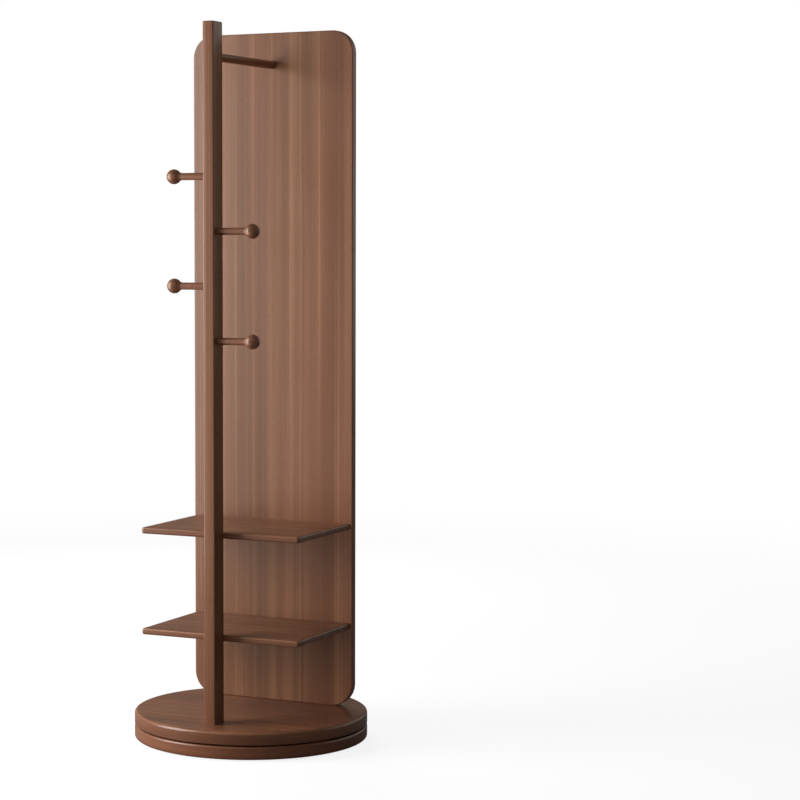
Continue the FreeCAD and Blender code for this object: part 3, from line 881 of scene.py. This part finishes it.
def straightLength(start, end, outward, boardBack):
    start, end = np.array(start), np.array(end)
    length = np.linalg.norm(end - start)
    stations = np.array([0, moulding["endBreak"], length - moulding["endBreak"], length])
    path = start + stations[:, None] * (end - start) / length
    facing = np.broadcast_to(np.array(outward, float), path.shape)
    return sweptMoulding(path, facing, stations, boardBack)


def bentCorner(centre, startAngle, radius, boardBack):
    small = moulding["endBreak"] / radius
    bend = np.linspace(small, quarterTurn - small, moulding["bendSteps"])
    turn = np.concatenate([[0], bend, [quarterTurn]])
    outward = np.stack([np.cos(startAngle + turn), np.sin(startAngle + turn)], axis=1)
    return sweptMoulding(np.array(centre) + radius * outward, outward, turn * radius, boardBack)


def makeMirrorFrame():
    low, high, size = boxOf("panel_board")
    radius = panel["cornerRadius"]
    left, right = low[0] + radius, high[0] - radius
    bottom, top = low[2] + radius, high[2] - radius
    back = high[1]
    lengths = {
        "FrameStileLeft": ("frame_stile_left", (low[0], bottom), (low[0], top), (-1, 0)),
        "FrameStileRight": ("frame_stile_right", (high[0], top), (high[0], bottom), (1, 0)),
        "FrameRailTop": ("frame_rail_top", (left, high[2]), (right, high[2]), (0, 1)),
        "FrameRailBottom": ("frame_rail_bottom", (right, low[2]), (left, low[2]), (0, -1)),
    }
    for name, (node, start, end, outward) in lengths.items():
        addPiece(name, node, straightLength(start, end, outward, back), frameWood)
    centres = [(right, top), (left, top), (left, bottom), (right, bottom)]
    corners = [bentCorner(centre, step * quarterTurn, radius, back)
               for step, centre in enumerate(centres)]
    addPiece("FrameCorners", "frame_corner_blocks", together(corners), frameWood)


makeMirrorFrame()
print("mirror frame made")


# Mirror glass with its edge bevelled and polished

glass = {
    "cornerRadius": 45.9 * mm,
    "cornerSteps": 24,
    "bevel": 0.8 * mm,
    "backBreak": 0.2 * mm,
    "sharpAngle": 20,         # degrees
    "faceNormal": 0.9,        # a face whose normal leans less than this along Y is edge
}


def makeMirrorGlass():
    thickness = boxOf("mirror_glass")[2][1]
    bevel, small = glass["bevel"], glass["backBreak"]
    profile = np.array([(small, 0), (0, small), (0, thickness - bevel), (bevel, thickness)])
    mesh = skin(standingPlate("mirror_glass", glass, profile), sharpAngle=glass["sharpAngle"])
    piece = addPiece("MirrorGlass", "mirror_glass", mesh, silveredFace, glassEdge, mirrorBack,
                     slotName="silvered_glass")
    normals = np.empty(len(mesh.polygons) * 3, np.float32)
    mesh.polygons.foreach_get("normal", normals)
    ahead = normals.reshape(-1, 3)[:, 1]
    front, back = ahead > glass["faceNormal"], ahead < -glass["faceNormal"]
    mesh.polygons.foreach_set("material_index", np.where(front, 0, np.where(back, 2, 1)))
    return piece


mirrorGlass = makeMirrorGlass()
print("mirror glass made")


# Coat post

post = {
    "edgeRound": 3 * mm,
    "edgeSteps": 8,
    "topRound": 2.8 * mm,
    "footBreak": 0.1 * mm,
    "flatMargin": 0.15 * mm,
}


def makeCoatPost():
    low, high, size = boxOf("coat_post")
    middle = (low + high) / 2
    profile = roundedProfile(size[2], post["footBreak"], post["topRound"],
                             post["edgeSteps"], post["flatMargin"])
    rings = plateRings(size[0] / 2, size[1] / 2, post["edgeRound"], post["edgeSteps"], profile)
    addPiece("CoatPost", "coat_post", skin(rings + (middle[0], middle[1], low[2])), postWood)


makeCoatPost()
print("coat post made")


# Hanging rail, a round bar from the post to the board

rail = {
    "endBreak": 0.4 * mm,
    "segments": 64,
}


def barProfile(length, radius, endBreak):
    return np.array([(0, radius - endBreak), (endBreak, radius), (length - endBreak, radius),
                     (length, radius - endBreak)])


def makeHangingRail():
    low, high, size = boxOf("hanging_rail")
    middle = (low + high) / 2
    profile = barProfile(size[1], size[2] / 2, rail["endBreak"])
    rings = turnedRings(profile, (middle[0], low[1], middle[2]), (0, 1, 0), rail["segments"])
    addPiece("HangingRail", "hanging_rail", skin(rings), railWood)


makeHangingRail()
print("hanging rail made")


# Pegs: a round rod and a ball knob with a short flared neck

peg = {
    "count": 4,
    "endBreak": 0.3 * mm,
    "rodSegments": 48,
    "knobSegments": 72,
    "knobRadius": 17.5 * mm,
    "ballSteps": 40,
    "neckRadius": 9.5 * mm,
    "neckRound": 5 * mm,
    "neckSteps": 8,
    "socketRadius": 8.55 * mm,
    "mouthBreak": 0.3 * mm,
    "socketDepth": 12 * mm,
}


# Knob profile from the bottom of its socket, round the neck, up the hollow flare that touches both
# neck and ball, and over the ball to its pole, as (distance from the mouth, radius).
def knobProfile(length):
    ball, neck, flare = peg["knobRadius"], peg["neckRadius"], peg["neckRound"]
    socket, small = peg["socketRadius"], peg["mouthBreak"]
    ballMiddle = length - ball
    flareOut = neck + flare
    flareBack = math.sqrt((ball + flare) ** 2 - flareOut ** 2)
    meet = math.atan2(flareOut, flareBack)      # at the ball's centre, back from the mouth's side
    depth = ballMiddle - math.sqrt(ball ** 2 - neck ** 2) + peg["socketDepth"]
    mouth = [(depth, 0), (depth, socket), (small, socket), (0, socket + small), (0, neck - small),
             (small, neck)]
    hollow = arc((ballMiddle - flareBack, flareOut), flare, -quarterTurn, -meet, peg["neckSteps"])
    cap = arc((ballMiddle, 0), ball, 2 * quarterTurn - meet, 0, peg["ballSteps"])
    return np.vstack([mouth, hollow, cap[1:]])


# Turns a profile out sideways on its rod's axis, from the end of its node's box that is nearer to
# the post.
def turnedSideways(node, axis, profile, segments):
    low, high, size = boxOf(node)
    side = 1 if axis[0] > 0 else -1
    start = (low[0] if side > 0 else high[0], axis[1], axis[2])
    return skin(turnedRings(profile, start, (side, 0, 0), segments))


def makePegs():
    for number in range(1, peg["count"] + 1):
        rod, knob = "peg_rod_%d" % number, "peg_knob_%d" % number
        low, high, size = boxOf(rod)
        axis = (low + high) / 2
        bar = barProfile(size[0], size[2] / 2, peg["endBreak"])
        rodMesh = turnedSideways(rod, axis, bar, peg["rodSegments"])
        addPiece("PegRod%d" % number, rod, rodMesh, pegWood)
        ball = knobProfile(boxOf(knob)[2][0])
        knobMesh = turnedSideways(knob, axis, ball, peg["knobSegments"])
        addPiece("PegKnob%d" % number, knob, knobMesh, pegWood)


makePegs()
print("pegs made")


# Studio: pale floor, white surround, one large soft lamp at the left and weaker ones round it

studio = {
    "floorHalf": 14.0,
    "floorDrop": 0.2 * mm,
    "floorColour": (0.28, 0.27, 0.26, 1),     # what it throws back on the object
    "floorGlow": 0.86,          # share of white that the floor shows by itself
    "floorShade": 0.20,         # how much of its lit colour is kept, for the shadow
    "shadowFade": (1.2, 5.0),   # distances between which the shadow fades out
    "nearFloor": 0.4,           # inside this distance the gloss shows a dim floor, a painted shade
    "openFloor": 3.5,           # and from here on a pale one
    "dimFloor": (0.05, 0.05, 0.05, 1),
    "paleFloor": (0.40, 0.37, 0.33, 1),
    "nearShade": 0.18,
    "worldLight": (0.12, 0.12, 0.12, 1),
    "horizon": (0.47, 0.435, 0.38, 1),
    "overhead": (0.50, 0.47, 0.42, 1),
    "horizonTop": 0.4,          # sine of the height from which the colour is the overhead one
    "brightSide": (-0.6, -0.8, 0),
    "sideSpan": (-0.8, 0.9),    # share of the bright side's direction, from dark to bright
    "darkShare": 0.28,          # brightness on the far side from the bright one
    "farPatch": (0.6, 0.8, 0),  # direction of a pale patch, which the right-hand sides catch
    "farPatchSpan": (0.75, 0.97),
    "farPatchShare": 1.5,       # extra brightness there
    "mirrorWall": (0.80, 0.785, 0.73, 1),     # what the mirror itself shows
    "mirrorFloor": (0.66, 0.64, 0.585, 1),
    "lamps": {
        "key": {"place": (-1.45, -1.05, 1.1), "aim": (0, 0, 0.9), "size": (1.1, 2.0), "power": 63,
                "inGloss": True},
        "front": {"place": (0.3, -3.3, 1.5), "aim": (0, 0, 0.9), "size": (1.6, 1.6), "power": 14,
                  "inGloss": False},
        "top": {"place": (-0.3, 0.5, 3.4), "aim": (0, 0, 0), "size": (1.6, 1.6), "power": 4,
                "inGloss": False},
        "rear": {"place": (-1.9, 2.6, 1.8), "aim": (0, 0, 1.0), "size": (1.6, 1.8), "power": 60,
                 "inGloss": False},
        "right": {"place": (1.2, -0.1, 3.1), "aim": (0, 0, 1.2), "size": (0.9, 0.9), "power": 4,
                  "inGloss": False},
    },
}


# Which rays see the surroundings: the camera's, those of any gloss, and those of the clear mirror.
def rayKinds(tree):
    rays = tree.nodes.new("ShaderNodeLightPath").outputs
    mirrored = calc(tree, "MAXIMUM", rays["Is Glossy Ray"], rays["Is Transmission Ray"])
    return rays["Is Camera Ray"], mirrored, rays["Is Singular Ray"]


# How far a direction points to one side of the room, from -1 to 1.
def towards(tree, direction, side):
    ahead = vectorCalc(tree, "NORMALIZE", direction)
    return vectorCalc(tree, "DOT_PRODUCT", ahead, side, output="Value")


# Brightness of the surroundings by direction: 1 on the bright side, less on the other.
def roomSide(tree, direction):
    return remap(tree, towards(tree, direction, studio["brightSide"]), *studio["sideSpan"],
                 studio["darkShare"], 1.0, smooth=True)


# To the camera the floor is white and keeps a faint shadow. In the gloss it is dim close to the
# piece, a painted shade, and pale further out, where it meets the horizon. The clear mirror sees a
# plain floor.
def floorMaterial():
    material = bpy.data.materials.new("paleFloor")
    tree = emptied(material)
    cameraRay, mirrored, clear = rayKinds(tree)
    place = objectPlace(tree)
    distance = vectorCalc(tree, "LENGTH", place, output="Value")
    far = remap(tree, distance, *studio["shadowFade"], smooth=True)
    opened = remap(tree, distance, studio["nearFloor"], studio["openFloor"], smooth=True)
    shade = calc(tree, "MULTIPLY", studio["floorShade"], calc(tree, "SUBTRACT", 1.0, far))
    dim = calc(tree, "MULTIPLY", studio["nearShade"], calc(tree, "SUBTRACT", 1.0, opened))
    colour = blendColours(tree, cameraRay, studio["floorColour"], grey(tree, shade))
    lit = tree.nodes.new("ShaderNodeBsdfDiffuse")
    put(lit.inputs["Color"], blendColours(tree, mirrored, colour, grey(tree, dim)))
    shown = calc(tree, "MULTIPLY", cameraRay, remap(tree, far, 0.0, 1.0, studio["floorGlow"], 1.0))
    # In the gloss the floor glows dimmer close to the piece: a painted shade round it.
    reflected = blendColours(tree, opened, studio["dimFloor"], studio["paleFloor"])
    reflected = tinted(tree, reflected, grey(tree, roomSide(tree, place)))
    reflected = blendColours(tree, clear, reflected, studio["mirrorFloor"])
    glow = tree.nodes.new("ShaderNodeEmission")
    put(glow.inputs["Color"], blendColours(tree, mirrored, grey(tree, shown), reflected))
    both = tree.nodes.new("ShaderNodeAddShader")
    put(both.inputs[0], lit.outputs[0])
    put(both.inputs[1], glow.outputs[0])
    put(tree.nodes.new("ShaderNodeOutputMaterial").inputs["Surface"], both.outputs[0])
    return material


def makeFloor():
    half, height = studio["floorHalf"], -studio["floorDrop"]
    around = ((-half, -half), (half, -half), (half, half), (-half, half))
    mesh = bpy.data.meshes.new("floor")
    mesh.from_pydata([(x, y, height) for x, y in around], [], [(0, 1, 2, 3)])
    mesh.materials.append(floorMaterial())
    floor = bpy.data.objects.new("floor", mesh)
    bpy.context.scene.collection.objects.link(floor)


# White to the camera. In the gloss it is warm grey, a little paler overhead, brighter on one side
# and with a pale patch at the back right. The clear mirror sees a plain wall.
def makeWorld():
    world = bpy.data.worlds.new("studio")
    bpy.context.scene.world = world
    tree = emptied(world)
    cameraRay, mirrored, clear = rayKinds(tree)
    direction = tree.nodes.new("ShaderNodeTexCoord").outputs["Generated"]
    height = remap(tree, split(tree, direction)[2], 0.0, studio["horizonTop"], smooth=True)
    gradient = blendColours(tree, height, studio["horizon"], studio["overhead"])
    patch = remap(tree, towards(tree, direction, studio["farPatch"]), *studio["farPatchSpan"],
                  0.0, studio["farPatchShare"], smooth=True)
    side = calc(tree, "MULTIPLY_ADD", patch, mirrored, roomSide(tree, direction))
    colour = blendColours(tree, mirrored, studio["worldLight"], gradient)
    colour = tinted(tree, colour, grey(tree, side))
    colour = blendColours(tree, clear, colour, studio["mirrorWall"])
    backdrop = tree.nodes.new("ShaderNodeBackground")
    put(backdrop.inputs["Color"], blendColours(tree, cameraRay, colour, white))
    put(tree.nodes.new("ShaderNodeOutputWorld").inputs["Surface"], backdrop.outputs[0])


# The lamps light the wood, and the key one shows in its gloss. The mirror is left out of what they
# light, so that it doesn't show them.
def makeLamps():
    unlit = bpy.data.collections.new("unlit")
    unlit.objects.link(mirrorGlass)
    unlit.collection_objects[0].light_linking.link_state = "EXCLUDE"
    for name, lamp in studio["lamps"].items():
        data = bpy.data.lights.new(name, "AREA")
        data.shape = "RECTANGLE"
        data.size, data.size_y = lamp["size"]
        data.energy = lamp["power"]
        light = bpy.data.objects.new(name, data)
        light.visible_camera = False
        light.visible_glossy = lamp["inGloss"]
        light.light_linking.receiver_collection = unlit
        bpy.context.scene.collection.objects.link(light)
        toward = Vector(lamp["aim"]) - Vector(lamp["place"])
        turned = toward.to_track_quat("-Z", "Y").to_matrix().to_4x4()
        light.matrix_world = Matrix.Translation(lamp["place"]) @ turned


makeFloor()
makeWorld()
makeLamps()
print("studio made")
